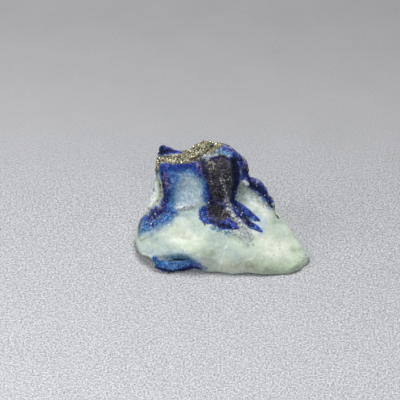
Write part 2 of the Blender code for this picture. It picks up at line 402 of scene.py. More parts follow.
def evened(points, squares, rounds):
    """The points slid over the stone until its squares are about alike: each goes to its squares' middle,
    larger squares and those that look forward and up weighing more."""
    for _ in range(rounds):
        corners = points[squares]
        middle = corners.mean(axis=1)
        span = np.cross(corners[:, 2] - corners[:, 0], corners[:, 3] - corners[:, 1])
        area = np.linalg.norm(span, axis=1)
        look = span @ facing(0, 40) / area
        weight = np.repeat(area * (1.0 + 0.9 * np.clip(look, -0.5, 0.5)), 4)
        total = np.bincount(squares.ravel(), weight, len(points))
        pulls = (weight[:, None] * np.repeat(middle, 4, axis=0)).T
        slid = [np.bincount(squares.ravel(), pull, len(points)) / total for pull in pulls]
        points = met(np.stack(slid, axis=1), 3)
    return points


def refined(values, n, times):
    """The values on a cube's faces, spread to a grid that is this many times finer."""
    grid = values.reshape(6, n + 1, n + 1, 3)
    at = np.arange(n * times + 1) / times
    low = np.minimum(at.astype(int), n - 1)
    share = (at - low)[:, None]
    grid = grid[:, low] * (1 - share[:, None]) + grid[:, low + 1] * share[:, None]
    grid = grid[:, :, low] * (1 - share) + grid[:, :, low + 1] * share
    return grid.reshape(-1, 3)


def point_normals(points, squares):
    """Unit normals of the points, from the squares round each."""
    corners = points[squares]
    span = np.repeat(np.cross(corners[:, 2] - corners[:, 0], corners[:, 3] - corners[:, 1]), 4, axis=0)
    total = np.stack([np.bincount(squares.ravel(), span[:, i], len(points)) for i in range(3)], axis=1)
    return total / np.linalg.norm(total, axis=1)[:, None]


COARSE, TIMES = 32, 4
knots, _, where, squares = cube_grid(COARSE)
turned = np.tan((2.0 * knots / COARSE - 1.0) * np.pi / 4)
rays = turned / np.linalg.norm(turned, axis=1)[:, None] * REACH
points = met(HEART + 17.0 * rays / np.linalg.norm(rays, axis=1)[:, None], 50)
points = evened(points, squares, 40)
spread = refined(points[where], COARSE, TIMES)
_, first, _, squares = cube_grid(COARSE * TIMES)
smooth = met(spread[first], 16)
normals = point_normals(smooth, squares)

# Colour zones of the stone
# Each stroke is a softness and a path of places (across, down, radius), drawn over one view of the
# stone and then carried onto it along that view's rays. The first table is drawn over the picture, all in
# its pixels. The next three are drawn over views from the back and the two ends, with places in tenths of
# a millimetre from the view's corner, and softness and radii in millimetres.
# Some strokes paint light and shade: shade in the cleft, the undercut, under the ledge and round the lip,
# light on the swells' tops and highlights on the ledge and chips. The notes at those strokes say which.
PICTURE_STROKES = {
    "sky": [
        (6, [(182, 177, 12), (186, 187, 14), (185, 197, 13), (184, 203, 9)]),  # floor of the hollow
        (5, [(198, 179, 8), (201, 189, 8), (200, 199, 6)]),  # floor of the hollow, right
        (7, [(143, 247, 0.1), (144, 248, 0.1)]),  # left end
        (5, [(150, 252, 1), (168, 252, 1.5), (186, 255, 2.5), (200, 260, 1.5)]),  # above the lip
        (3, [(207, 229, 0.5), (216, 232, 0.5)]),  # under the patch
        (3.5, [(243, 207, 2), (252, 213, 2.2), (262, 219, 2.5), (266, 223, 2)]),  # below the first wedge
        (2.5, [(258, 224, 2), (263, 229, 2.5), (262, 233, 2)]),  # round the second wedge
        (3, [(217, 149, 2), (224, 150, 2.5), (232, 154, 1.5)]),  # crown, right
        (6, [(246, 194, 0.5), (250, 198, 1), (254, 202, 0.5)]),  # wing, middle
        (5, [(172, 213, 3), (180, 211, 2.5)]),  # left of the hollow foot
        (4, [(176, 206, 3), (188, 203, 4), (198, 200, 3)]),  # foot of the hollow
    ],
    "teal": [
        (4, [(204, 178, 3), (206, 187, 3), (206, 196, 2.5)]),  # right side of the hollow
        (3.5, [(169, 208, 4), (170, 214, 4), (174, 213, 3)]),  # left flank, inner
        # fringe over the lip and over the lip: the lip's teal tone, and painted shade in the crease above it
        (4, [(170, 257, 1), (180, 258, 2), (190, 260, 2)]),  # fringe over the lip
        (1.6, [(201, 209, 1), (205, 207.5, 1.2), (212, 205, 1)]),  # patch, top left
        (3, [(219, 148, 1.5), (218, 153, 1.5), (228, 149, 2), (236, 153, 3)]),  # crown, right
        (3.5, [(213, 227.5, 0.6), (222, 230, 1.4), (231, 232, 1.2)]),  # below the patch
        (3, [(170, 257, 0.4), (182, 258, 1.2), (190, 260, 1)]),  # over the lip
        (2, [(157, 262, 3), (162, 266, 3)]),  # lip, left
        (3, [(170, 196, 3), (171, 204, 3)]),  # hollow, lower left
        (4, [(140, 230, 3), (148, 228, 2.5)]),  # left end, upper
    ],
    "blue": [
        # top of the hollow
        (2.5, [(160, 168, 2.5), (170, 165.5, 1), (180, 164.5, 0.6), (190, 165, 1), (198, 169, 3)]),
        # left side of the hollow
        (3, [(163, 175, 4), (165.5, 185, 3.6), (166.5, 195, 3.8), (165, 205, 6)]),
        (2.6, [(208, 178, 3.4), (208, 188, 2.8), (209.5, 198, 3)]),  # right side of the hollow
        (0.9, [(204.5, 210, 3.6), (204.5, 216, 3.4), (206.5, 220, 4)]),  # patch, left
        # patch, lower edge
        (0.9, [(207, 219, 4.5), (215, 221, 5.3), (224, 224, 5.6), (231, 225.5, 3.6), (237, 228.5, 1.6)]),
        (1.2, [(213, 203, 6), (216, 212, 8), (224, 214, 8)]),  # patch, middle
        # first wedge
        (0.8, [(232, 199.5, 3.5), (238.5, 205, 4.5), (245.5, 211, 4.7), (252.5, 216.3, 3.9),
            (259.5, 220.2, 1.5)]),
        # second wedge
        (0.8, [(238, 214, 3.4), (244, 219, 3.4), (251, 225.5, 3.8), (257, 227.5, 3), (263, 231.5, 1)]),
        # rim of the wing
        (2.2, [(248, 176, 3.6), (253, 183, 5), (259, 187.5, 5.4), (265, 194, 4.4), (269.5, 200, 3.2),
            (272.5, 207, 1.8)]),
        # under the knob, right
        (1.8, [(236, 162, 5), (237, 172, 5.5), (236, 181, 5.2), (234, 189, 4.5), (233, 198, 4)]),
        (2.2, [(240, 157, 4), (243, 162, 6), (245.5, 169, 6), (244, 175, 5)]),  # right cheek
        (2, [(224, 145.5, 4), (231, 148.5, 5), (239, 153.5, 5), (244, 160, 5)]),  # crown, top right
        (1.2, [(212, 158.5, 2.4), (225, 159, 2.6), (236, 160.5, 4)]),  # line under the crown
        (2.5, [(221, 146, 2), (229, 149.5, 3.5), (237, 155, 4.5)]),  # crown, right
        (3, [(146, 223, 4.5), (152, 217, 6), (159, 212, 7), (166, 210, 6)]),  # left flank
        (3.5, [(146, 226, 2.5), (155, 222, 4), (166, 216, 4.5), (174, 212, 3)]),  # left flank, lower
        # lip
        (1.1, [(154.5, 259.5, 3), (158, 266, 5), (170, 268.5, 6.5), (181, 268.5, 6), (189, 266, 4.2)]),
        (3.5, [(190, 265, 2.5), (198, 267, 2), (206, 269, 1)]),  # lip, fading right
        # horn
        (1.5, [(162, 147, 5), (161, 153, 4.5), (170, 150.5, 4.2), (180, 151.5, 2.6), (190, 149, 1)]),
        (1.5, [(164, 154, 2), (172, 153.5, 2), (180, 152.5, 1.5)]),  # horn, root
        (3, [(200, 163, 5), (203, 169, 7), (206, 175, 6)]),  # left of the rib
        (1.2, [(211, 198, 3), (214, 202, 4)]),  # under the rib, left
        # back of the band
        (2, [(163, 166.5, 3), (172, 164.5, 3), (183, 165.5, 2.5), (192, 164.5, 2.5), (200, 162, 3.5)]),
        (1.2, [(212, 201, 3.5), (220, 203, 4), (228, 205, 3)]),  # under the rib
        (1.2, [(229, 201, 3), (233, 206, 3.5), (238, 211, 3.5)]),  # first wedge, start
        (1, [(201.5, 211, 2.6), (202, 217, 2.8), (206, 222, 3)]),  # patch, left edge
        (1.2, [(229, 220, 3), (234, 223, 3), (239, 227.5, 1.6)]),  # patch, foot right
    ],
    "stain": [
        # top of the hollow
        (9, [(161, 169, 6), (171, 168, 6), (181, 168, 4.5), (190, 167, 3.5), (200, 171, 5)]),
        (12, [(170, 175, 5), (176, 176, 2), (172, 186, 2), (172, 194, 1)]),  # hollow, upper left
        # left side of the hollow
        (6, [(168, 176, 3.5), (169.5, 186, 2.6), (170, 196, 2.2), (167, 206, 3)]),
        (5, [(207, 178, 4.5), (208, 188, 4), (208, 198, 3.5)]),  # right side of the hollow
        # over the lip: painted shade in the crease above the lip
        (5, [(176, 258.5, 1.5), (186, 260, 2.5), (198, 265, 2)]),  # over the lip
        (3, [(242, 158, 3), (245, 166, 3.5), (245.5, 172, 3)]),  # crown, right
        (4, [(206, 208, 2), (200, 213, 1)]),  # right of the patch
        (6, [(142, 231, 1), (150, 230, 1.5), (160, 226, 1.5), (170, 220, 1.5)]),  # flank, lower fade
    ],
    "azure": [
        (3, [(153, 259, 1.5), (158, 263, 2)]),  # lip, left
        (3, [(148, 225, 3), (156, 221, 3), (165, 216, 4), (172, 211, 3), (171, 205, 2)]),  # left flank
        (1.4, [(200.5, 208, 0.5), (202.5, 213, 0.7), (204, 219, 0.6)]),  # patch, left edge
        (2.5, [(219, 150, 1.5), (225, 152.5, 2), (233, 156, 1.5)]),  # crown, right
        (1.6, [(249, 216, 0.6), (255, 219.5, 0.8)]),  # first wedge, end
        (1.6, [(253, 227, 0.5), (258, 228.5, 0.6)]),  # second wedge, end
        (1.6, [(262, 197, 0.2), (266, 201, 0.3)]),  # wing, step
    ],
    "deep": [
        (1.3, [(162, 148, 2.8), (161, 153, 2.2), (169, 150, 2.2), (176, 151, 0.8)]),  # horn
        # left side of the hollow
        (2.5, [(161, 173, 1.2), (162.5, 180, 1.6), (164.5, 190, 1.6), (164, 200, 2.2)]),
        # cleft, foot of the cleft and cleft, heart: painted shade in the cleft beside the rib
        # cleft
        (2, [(234.5, 161, 6), (236, 171, 6.8), (235.5, 181, 5.6), (234, 190, 4.6), (232, 199, 3.6)]),
        (2.6, [(202, 160, 3), (205, 167, 4.5), (208, 175, 4)]),  # left of the rib
        (2, [(221, 166, 13), (222, 178, 14.5), (222, 190, 14)]),  # behind the rib
        (1.6, [(231, 196, 3), (232, 203, 2)]),  # foot of the cleft
        # line under the crown
        (1.1, [(215, 158.5, 1.4), (225, 159, 1.8), (236, 160, 2.2), (243, 159.5, 1.6)]),
        (1.8, [(212, 221, 2.4), (220, 224.5, 2.6), (228, 226.5, 2.4), (236, 228.5, 1)]),  # patch, lower
        (2.4, [(214, 203, 3.5), (215, 211, 7), (223, 213, 7)]),  # patch, middle
        # between stream and first wedge
        (1.8, [(233, 198, 2.5), (237, 205, 2.6), (243, 212, 2.2), (248, 219, 2)]),
        (1.5, [(240, 216, 2.2), (247, 222, 1.8), (254, 226, 1.4)]),  # second wedge, upper
        # rim of the wing
        (1.6, [(248, 176, 1.6), (253, 185, 2.6), (260, 189, 3), (266, 195, 2.2), (270, 201, 1.6),
            (273, 207, 1.2)]),
        (4, [(152, 219, 1.5), (158, 213, 2.5), (163, 212, 2.5)]),  # left flank
        # lip crease: painted shade in the crease above the lip
        (1, [(168, 261, 0.8), (174, 260, 1.2), (181, 259.5, 1.3), (187, 259, 1)]),  # lip crease
        # lip, under and lip, rim: a painted shadow where the lip meets the floor
        (1.4, [(184, 269, 1.2), (190, 267, 1.6), (197, 268, 0.8)]),  # lip, under
        # under the rib, left and undercut: painted shade in the undercut at the rib's foot
        (1.2, [(211, 197.5, 2), (213, 202, 2.2)]),  # under the rib, left
        (1.6, [(158, 268, 0.8), (168, 270.5, 1.2), (180, 270.5, 1.4), (190, 268, 1)]),  # lip, rim
        (1, [(213, 195.5, 1.2), (220, 196.5, 2), (226, 196, 1.4), (232, 192, 1.5)]),  # undercut
        (1.5, [(236, 166, 2.5), (237.5, 172, 3), (236, 180, 2.5), (234, 188, 2)]),  # cleft, heart
        # painted shadow along the lip's underside, where it meets the floor
        # lip, underside
        (1.4, [(159, 267, 0.8), (168, 270, 1.2), (178, 270.5, 1.4), (187, 268.5, 1.4), (196, 268.5, 1),
            (204, 270, 0.6)]),
        (2, [(238, 158, 1.5), (242, 160, 1.5)]),  # crown, right
    ],
    "violet": [
        (3, [(199, 161, 4), (203, 167, 6), (206, 174, 6), (209, 179, 4)]),  # left of the rib
        (4, [(152, 219, 1), (157, 213, 1.5), (161, 208, 1), (163, 201, 0.2)]),  # left flank
        (3, [(164, 177, 3), (166, 186, 2)]),  # hollow, upper left
        (2.4, [(250, 177, 1), (256, 182, 1.5), (261, 186, 1.2)]),  # wing strip
        (1.5, [(166, 146, 1), (174, 149.5, 1.4)]),  # horn, upper edge
        (2.2, [(213, 200, 3.5), (220, 203, 4), (228, 206, 3)]),  # below the rib
        (2.5, [(202, 162, 3), (205, 169, 4), (209, 177, 3)]),  # column, left
        (2.5, [(212, 217, 1.5), (218, 219, 1.5)]),  # patch, tint
        (2.5, [(244, 164, 2), (245.5, 171, 2)]),  # right cheek
        (1.6, [(212, 220, 1.5), (219, 221.5, 1.6)]),  # patch, foot
        (2.2, [(196, 265, 0.4), (200, 266.5, 0.4)]),  # lip, right end
        (2.5, [(224, 144, 1), (228, 146, 1.5)]),  # crown, upper rim
        (3, [(241, 157, 1.2), (245, 165, 1.8), (246, 172, 1.4)]),  # crown, right
    ],
    "dark": [
        (1.8, [(221, 167, 9), (222, 174, 12), (221, 183, 12), (220.5, 190, 11)]),  # rib
        (2.2, [(210, 163, 4.5), (213, 170, 5)]),  # rib, upper left
        (1.4, [(210, 160, 1.6), (220, 161, 2), (229, 163, 2.5)]),  # rib, top
        (2.4, [(213, 208.5, 5), (218, 213, 7), (226, 214.5, 5.5), (218, 219, 3)]),  # patch, middle
        # undercut: painted shade in the undercut at the rib's foot
        (1.2, [(215, 196, 2), (222, 197, 2.4), (228, 197, 1)]),  # undercut
        # cleft: painted shade in the cleft beside the rib
        (1.5, [(233, 168, 0.3), (233, 184, 0.5), (231.5, 192, 1.2), (231, 198, 1.2)]),  # cleft
        # end of the wing: a painted shadow line along the wing's end
        (0.9, [(274.8, 207.5, 0.8), (275.8, 213, 0.9), (279.3, 218, 0.8)]),  # end of the wing
        (1.6, [(233, 219, 1.4), (238, 224, 1)]),  # under the stream
        (0.7, [(280, 249.5, 0.2), (281, 249, 0.2)]),  # speck
    ],
    # By the cleft, under the ledge and over the lip these strokes are painted shade.
    "shade": [
        (5, [(239, 183, 3), (242, 189, 5), (241, 196, 5), (246, 203, 3)]),  # wing, by the cleft
        (3, [(178, 213, 1.6), (187, 214, 2.2), (197, 212, 1.6)]),  # under the ledge
        (5, [(231, 235, 2), (241, 238, 3), (247, 244, 1)]),  # grey smudge
        (2, [(157, 171, 1.5), (160, 167.5, 1.5)]),  # band, grey
        (1.5, [(243, 185, 1.5), (250, 188, 2)]),  # lens, below
        (4, [(139, 230, 1), (147, 230, 1.2), (156, 227, 1)]),  # flank, fading
        (4, [(166, 255.5, 0.5), (172, 255, 1.5), (182, 256, 1.5)]),  # over the lip
    ],
    "gold": [
        (1.6, [(158, 159, 4.5), (158, 164, 4.5), (157.5, 169, 3)]),  # band, left
        # band
        (1.4, [(160, 160, 4.2), (170, 159, 5), (180, 158.5, 6), (190, 156.5, 7), (197, 154.5, 6)]),
        # band, upper
        (1.3, [(186, 151, 6), (197, 148, 8), (206, 145.5, 9), (213, 145, 7.5), (219, 145, 3)]),
        # cluster
        (1.4, [(209, 162.5, 1.4), (212, 162.5, 1.4), (215.5, 164.5, 1.8), (215, 168, 2),
            (211, 169, 1.4)]),
        (1.4, [(202, 144.5, 4), (209, 142, 5), (216, 142.5, 4.5), (222, 144.5, 2)]),  # crown edge
        (1.2, [(160, 157.5, 1.8), (170, 157, 1.8), (182, 155, 2.2)]),  # under the horn
        # left strip
        (1.2, [(154.5, 206, 0.5), (159, 199, 1), (160.5, 191, 1.3), (160, 184, 1.2), (158, 177, 0.8)]),
    ],
    "sugar": [
        (1.3, [(224, 178, 0.6), (225.5, 184, 1), (226, 190, 1.2), (227, 197, 1.5)]),  # stream, upper
        # stream
        (1.3, [(227, 199, 1.6), (229, 205, 2), (232, 212, 2.6), (236, 217, 2.6), (240, 222, 2.8)]),
        (3.5, [(240, 223, 2.5), (246, 229, 3), (250, 235, 2)]),  # stream, foot
        (1.4, [(204, 156, 1.6), (210, 155.5, 2), (214, 154, 1.5)]),  # under the crown
        # crown rim
        (1.2, [(225, 145.5, 0.6), (232, 148, 0.8), (238.5, 153, 0.9), (243.5, 160, 0.9),
            (246, 168, 0.8)]),
        (1.6, [(157, 190, 0.3), (156.5, 183, 0.4)]),  # left strip
        (1.5, [(219, 170, 0.4), (222, 179, 0.9), (224.5, 187, 2), (226, 192, 1.4)]),  # column, flecks
        (2, [(226, 199, 1.5), (229, 205, 3), (227, 211, 1.5)]),  # foot of the column
        # lip, glitter: painted highlight specks on the lip
        (1, [(170, 263, 0.1), (174, 264, 0.2)]),  # lip, glitter
    ],
    "white": [
        # ledge: a painted highlight along the top of the broken edge
        # ledge
        (1.3, [(177, 208, 0.8), (183, 207.4, 1.7), (188, 206.4, 1.9), (193, 205, 1.5), (199, 203, 0.8)]),
        (0.8, [(244.8, 181.2, 1.5), (248.3, 184.2, 1.7)]),  # lens
        (3, [(252, 203, 0.4), (258, 206, 0.8), (264, 210, 0.6)]),  # streak
        (1, [(230, 211, 0.9), (233.5, 214.5, 1.2), (236, 217.5, 0.7)]),  # stream, brightest
        (0.9, [(209.5, 155.5, 0.1), (212.5, 156, 0.1)]),  # under the crown
        (1.4, [(146.5, 213, 1), (150, 207, 1.8), (153.5, 201, 1.8), (156, 194, 1)]),  # left strip
        (1.2, [(156.5, 196, 0.8), (157, 188, 0.8), (157, 182, 0.4)]),  # left strip, second
        (0.8, [(244.5, 261.3, 0.2), (250, 259.5, 0.5), (256, 256.6, 0.3)]),  # apron streak
        (1, [(228.5, 241, 0.4), (225, 252, 0.6), (222, 262, 0.6), (219.5, 269, 0.5)]),  # vein
        (0.7, [(223.6, 187, 0.8), (225, 190, 0.9)]),  # column, fleck
        (0.8, [(230, 211, 1), (233, 215, 1.5), (236, 218.5, 0.8)]),  # stream, crystal
        # chip line and glint, right: painted highlights on the matrix
        (0.7, [(245, 262, 0.3), (250, 260, 0.6), (254, 258, 0.4)]),  # chip line
        (0.9, [(283, 236, 0.7), (288, 239, 0.6)]),  # glint, right
        (0.9, [(140.5, 253, 0.6), (146, 254.5, 0.8), (151, 256, 0.5)]),  # corner
        (0.8, [(149.5, 227, 0.6), (150.5, 227, 0.6)]),  # specks, left
        (0.8, [(168, 225, 0.6), (170, 224, 0.5)]),  # speck, upper
    ],
    "cream_and_painted_light": [
        # left peak, left swell and right peak: painted light on the swells' upturned tops, over the matrix's
        # cream tone
        (7, [(186, 226, 4), (193, 234, 6), (196, 240, 5)]),  # left peak
        (7, [(165, 238, 4), (177, 240, 5)]),  # left swell
        (8, [(258, 232, 3), (268, 240, 7), (280, 246, 9), (290, 249, 6)]),  # right peak
        (6, [(262, 252, 3), (278, 254, 4)]),  # right end, front
        (5, [(262, 207, 4), (268, 215, 4)]),  # wing foot
        (3, [(178, 205, 0.8), (188, 203, 1.2), (196, 201, 0.6)]),  # foot of the hollow
        (4, [(172, 246, 1), (180, 242, 2.5), (188, 240, 2.5)]),  # rib of the swell
        (5, [(250, 262, 1), (262, 259, 2)]),  # front, low
        # front band: painted light on the band that faces forward
        (5, [(200, 260, 2.5), (214, 261, 2.5), (240, 266, 2.5), (252, 267, 1.5)]),  # front band
        # left strip
        (2, [(145, 216, 2), (150, 209, 3), (155, 201, 3.5), (158, 193, 3), (157.5, 184, 2)]),
        (3, [(247, 196, 1.5), (254, 201, 2.5), (260, 207, 2)]),  # lens, heart
    ],
    "moss_and_painted_shade": [
        # front band, below the swell and front, right: painted shade on the faces that look forward and down,
        # over an olive-green tone
        # front band
        (6, [(205, 260, 0.5), (225, 262, 1.2), (245, 264, 3.5), (262, 266, 7), (282, 267, 6.5),
            (298, 266, 5.5)]),
        (7, [(296, 250, 3), (301, 259, 4)]),  # right tip
        (6, [(196, 252, 0.5), (214, 254, 0.5)]),  # below the swell
        (5, [(258, 270, 3), (268, 268, 4.5), (280, 267, 5), (292, 264, 3)]),  # front, right
        (1.8, [(153, 207, 1), (158.5, 199, 1.5), (160, 191, 1.8), (158.5, 183, 2)]),  # left strip
    ],
    "ash": [
        # crumbs under the stream
        (4.5, [(220, 229, 1.5), (228, 232, 3), (236, 233, 4), (246, 237, 4), (250, 241, 2)]),
        # wing, by the cleft: painted shade where the crown shadows the wing
        (5, [(238, 184, 3), (240, 190, 4), (239, 197, 3.5)]),  # wing, by the cleft
        (4, [(249, 188, 2), (256, 194, 2.6), (263, 200, 2.4), (269, 206, 1.6)]),  # under the rim
        (4, [(141, 230, 1.5), (150, 229, 2), (160, 224, 2), (172, 217, 2)]),  # flank, fading
        # under the ledge: painted shade below the ledge
        (2.2, [(177, 212.5, 0.8), (187, 213.5, 0.8), (197, 211, 0.6)]),  # under the ledge
        # over the lip: painted shade in the crease above the lip
        (4, [(166, 257, 1), (178, 257, 2), (188, 258.5, 2)]),  # over the lip
        (2.2, [(232, 148, 1), (239, 153.5, 2), (244, 160, 2.6), (247, 168, 2.4)]),  # crown rim
        (4, [(148, 236, 0.5), (158, 232, 1)]),  # flank, upper
        (2.5, [(243, 158.5, 1.2), (247, 170, 1.2)]),  # crown, right rim
        (2.5, [(200, 157, 2), (208, 156, 3), (216, 155, 2.5)]),  # under the crown
        (3.5, [(212, 227, 0.8), (222, 230.5, 1.8), (230, 231.5, 2)]),  # below the patch
        (5, [(303, 250, 0.8), (307, 259, 1.2)]),  # right tip
    ],
    "mist": [
        (7, [(154, 237, 6), (163, 244, 8), (172, 250, 5)]),  # left of the swell
        # under the ledge: painted shade below the ledge
        (4, [(180, 215, 7), (190, 214, 6.5), (198, 214.5, 7)]),  # under the ledge
        (6, [(198, 230, 3), (190, 226, 3)]),  # beside the smudge
        (6, [(214, 238, 3), (222, 246, 3)]),  # over the vein
        (5, [(246, 246, 0.3), (250, 244, 0.3)]),  # smudge
        (7, [(224, 243, 5), (230, 249, 6), (238, 256, 4)]),  # front, middle
        (5, [(141, 233, 2.5), (150, 232, 3), (160, 229, 3), (170, 225, 2.5)]),  # flank, fading
    ],
    "glass": [
        # lip
        (2.5, [(157, 262, 3), (164, 264.5, 5), (172, 265.5, 5.5), (180, 265, 5), (187, 263.5, 2.5)]),
    ],
    "sea": [
        # over the lip: the crease's dark teal tone, and painted shade in the crease
        # over the lip
        (3.5, [(158, 257, 0.6), (166, 257.5, 2), (176, 256.5, 3.2), (185, 258, 3.6), (193, 261, 2.4)]),
        # flank, lower
        (4, [(139, 233, 3), (147, 228, 2.4), (158, 223.5, 2), (168, 219, 3), (176, 213, 3)]),
        (2.2, [(201, 210, 1.4), (205, 207, 1.6), (211, 205, 1)]),  # patch, upper left
        (2.5, [(204.5, 180, 1.5), (205.5, 190, 1.8), (206, 199, 2)]),  # hollow, right side
        (3, [(170, 186, 1.2), (171, 196, 1.8), (172, 205, 2)]),  # hollow, left side
    ],
}
BACK_STROKES = {
    "blue": [
        # back, tongue
        (0.5, [(112, 92, 0.6), (118, 108, 1.3), (122, 124, 1.5), (118, 140, 1.1), (128, 156, 0.9),
            (138, 166, 0.5)]),
        (0.45, [(196, 108, 0.9), (202, 122, 1), (198, 138, 0.8), (206, 150, 0.5)]),  # back, side band
    ],
    "deep": [
        (0.35, [(114, 98, 0.5), (119, 112, 0.9), (121, 128, 0.8), (120, 142, 0.4)]),  # back, tongue
    ],
    "dark": [
        (0.3, [(140, 92, 0.5), (146, 108, 0.8), (150, 122, 0.6), (146, 136, 0.3)]),  # back, seam
    ],
    "gold": [
        (0.2, [(150, 87, 0.5), (164, 92, 0.6), (176, 98, 0.5)]),  # back of the band
        # back, vein of pyrite
        (0.15, [(182, 100, 0.4), (176, 116, 0.3), (172, 132, 0.22), (160, 146, 0.15)]),
    ],
    "violet": [
        (0.5, [(150, 150, 0.7), (166, 158, 1), (182, 160, 0.7)]),  # back, low
    ],
    "sky": [
        # round the tongue
        (0.8, [(104, 110, 0.5), (104, 130, 0.8), (110, 150, 0.9), (128, 170, 0.9), (146, 172, 0.7)]),
    ],
    "azure": [
        (0.5, [(130, 110, 0.5), (134, 130, 0.6), (138, 148, 0.5)]),  # back, tongue side
    ],
    "cream_and_painted_light": [
        (0.9, [(60, 160, 0.8), (76, 166, 1), (92, 160, 0.7)]),  # back, left swell
        (0.9, [(200, 170, 0.6), (214, 160, 0.8)]),  # back, right swell
    ],
    "sugar": [
        (0.2, [(134, 100, 0.2), (138, 116, 0.3), (140, 132, 0.3), (144, 146, 0.3)]),  # back, seam crumbs
    ],
    "white": [
        (0.12, [(70, 140, 0.04), (84, 152, 0.06), (96, 172, 0.05), (104, 188, 0.04)]),  # back, vein
        (0.12, [(168, 176, 0.04), (178, 184, 0.05), (196, 186, 0.04)]),  # back, lower vein
    ],
    "shade": [
        (0.6, [(96, 150, 0.6), (106, 158, 0.8)]),  # back, hollow
    ],
}
RIGHT_STROKES = {
    "blue": [
        (0.5, [(168, 84, 0.6), (172, 100, 0.8), (174, 118, 0.7), (170, 134, 0.4)]),  # cheek, behind
    ],
    "deep": [
        (0.4, [(168, 90, 0.3), (171, 104, 0.4), (172, 116, 0.3)]),  # cheek, behind
    ],
    "sky": [
        (0.7, [(178, 104, 0.5), (180, 126, 0.6), (172, 146, 0.6)]),  # cheek, fading
    ],
    "violet": [
        (0.5, [(180, 150, 0.5), (190, 160, 0.7), (196, 170, 0.4)]),  # right end, low
    ],
    "cream_and_painted_light": [
        (0.9, [(120, 190, 0.8), (140, 186, 0.9)]),  # right end
    ],
    "white": [
        (0.12, [(110, 176, 0.04), (128, 184, 0.05), (150, 180, 0.04)]),  # right end, vein
    ],
}
LEFT_STROKES = {
    "blue": [
        (0.45, [(84, 112, 0.7), (88, 128, 0.8), (84, 144, 0.6), (92, 158, 0.4)]),  # left face
    ],
    "gold": [
        (0.18, [(98, 98, 0.35), (97, 114, 0.35), (95, 128, 0.22)]),  # band, end
    ],
    "violet": [
        (0.5, [(104, 150, 0.5), (112, 164, 0.7), (124, 176, 0.5)]),  # left face, low
    ],
    "sky": [
        (0.7, [(98, 140, 0.6), (110, 170, 0.8), (128, 186, 0.7)]),  # left face, fading
    ],
    "dark": [
        (0.3, [(82, 96, 0.3), (80, 110, 0.4), (82, 124, 0.3)]),  # left face, seam
    ],
    "cream_and_painted_light": [
        (0.9, [(84, 178, 0.7), (100, 188, 0.8)]),  # left face, low
    ],
    "sugar": [
        (0.2, [(96, 126, 0.25), (104, 140, 0.3), (112, 152, 0.25)]),  # left face, crumbs
    ],
}
EDGE_STROKES = [
    # zone, softness and path in millimetres, where an edge hides the mineral's end from every view
    ("violet", 0.30, [(1.6, 3.4, 11.8, 0.42), (2.7, 3.3, 11.0, 0.42), (3.5, 3.1, 10.0, 0.42),
                      (3.6, 2.9, 9.0, 0.42)]),  # crown's shoulder
    ("ash", 0.30, [(2.7, 3.3, 11.0, 0.3), (3.5, 3.1, 10.0, 0.3), (3.6, 2.9, 9.0, 0.3)]),
    ("deep", 0.25, [(3.0, 2.9, 9.2, 0.3), (3.0, 2.7, 8.4, 0.35)]),  # foot of the crown's shoulder
    ("sea", 0.35, [(-11.2, -1.9, 2.6, 0.5), (-10.9, -1.6, 3.3, 0.5), (-10.2, -1.2, 4.0, 0.5)]),  # left edge
    ("blue", 0.35, [(-11.1, -1.7, 2.9, 0.35), (-10.8, -1.4, 3.6, 0.35), (-10.1, -1.0, 4.3, 0.35)]),
]

PICTURE_RISE = 40.0  # degrees that the picture looks down
PIXEL = 0.1273  # millimetres across one pixel of the picture, at the stone
PICTURE_MIDDLE = np.array([200.0, 200.0])
ZERO_PIXEL = np.array([223.1, 236.1])  # where the form's own zero point shows
EYE_AWAY, EYE_TO_STONE = 300.0, 295.0  # millimetres from the eye to the zero point and to the pixels' plane
BEFORE_STONE = 16.0  # millimetres before the zero point, where the picture's rays start
SIDE_STEP, SIDE_MIDDLE = 0.1, 129.5  # millimetres to a place of a side view, and its middle place
SIDE_HEIGHT, SIDE_AWAY = 5.5, 20.0
RAY_STEPS, CLOSE = 90, 0.01  # steps along a ray, and the distance in millimetres that counts as there
SIDES = ((BACK_STROKES, 180, 25), (RIGHT_STROKES, 90, 20), (LEFT_STROKES, -90, 20))  # turn and rise


def view_axes(turn, rise):
    """The directions right, up and back of a view from this turn and rise, in degrees."""
    right = np.array([np.cos(np.radians(turn)), np.sin(np.radians(turn)), 0.0])
    back = facing(turn, rise)
    return right, np.cross(back, right), back


def picture_rays(spots):
    """Rays from the picture's eye through its places: their starts, before the stone, and directions."""
    right, up, back = view_axes(0, PICTURE_RISE)
    aside, below = (PICTURE_MIDDLE - ZERO_PIXEL) * PIXEL
    eye = aside * right - below * up + EYE_AWAY * back
    across, down = (spots - PICTURE_MIDDLE).T * PIXEL
    rays = across[:, None] * right - down[:, None] * up - EYE_TO_STONE * back
    rays /= np.linalg.norm(rays, axis=1)[:, None]
    return eye + (EYE_AWAY - BEFORE_STONE) * rays, rays


def side_rays(spots, turn, rise):
    """Parallel rays through the places of a side view: their starts, beside the stone, and directions."""
    right, up, back = view_axes(turn, rise)
    across, down = (spots - SIDE_MIDDLE).T * SIDE_STEP
    starts = across[:, None] * right - down[:, None] * up + SIDE_AWAY * back
    starts[:, 2] += SIDE_HEIGHT
    return starts, np.repeat(-back[None], len(spots), axis=0)


def waves(p):
    """The slow waves of the broken faces, in millimetres: two sizes of ripple added."""
    return 0.14 * ripple(p, 2.6, seed=3) + 0.09 * ripple(p, 1.3, seed=4)


